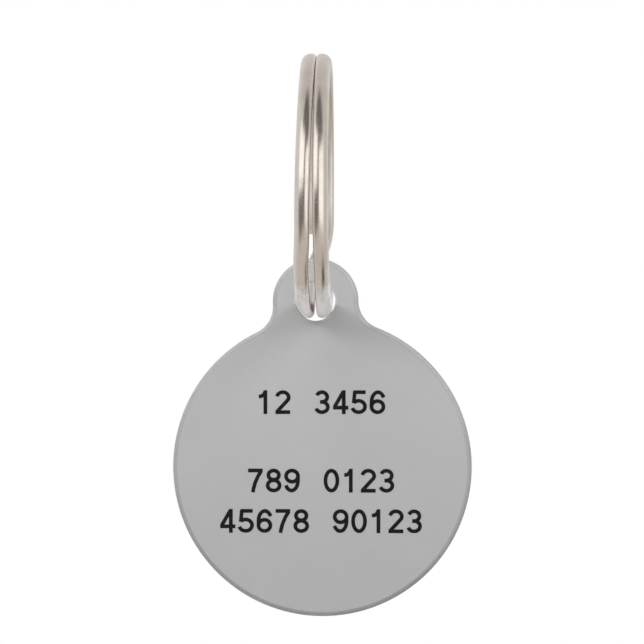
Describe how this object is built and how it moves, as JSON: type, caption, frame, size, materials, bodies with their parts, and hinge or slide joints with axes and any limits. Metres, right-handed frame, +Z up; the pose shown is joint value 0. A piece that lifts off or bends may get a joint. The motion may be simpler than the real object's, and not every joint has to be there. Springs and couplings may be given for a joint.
{
  "type": "pet identity tag",
  "caption": "Round flat metal identity tag with a holed lug at its top, hanging from a split ring of two turns that threads onto a collar.",
  "frame": {"origin": "hang point, at the top of the inside of the split ring", "axes": "+Z up, along the tag's own upright; +Y from the tag's front to its back; +X to the right of someone who faces the front"},
  "size_m": [0.0318, 0.028, 0.0597],
  "materials": {
    "tag_metal": "light grey anodised, satin",
    "ring_nickel": "nickel-plated steel wire, bright, fine drawing marks"
  },
  "bodies": {
    "ring": {"split_ring": "ring_nickel"},
    "tag": {"tag_plate": "tag_metal"}
  },
  "joints": [
    {"name": "tag_swing", "type": "hinge", "parent": "ring", "child": "tag", "pos_m": [-0.00111, 0, -0.02436], "axis": [0, 1, 0], "range_deg": [-132, 137]}
  ]
}
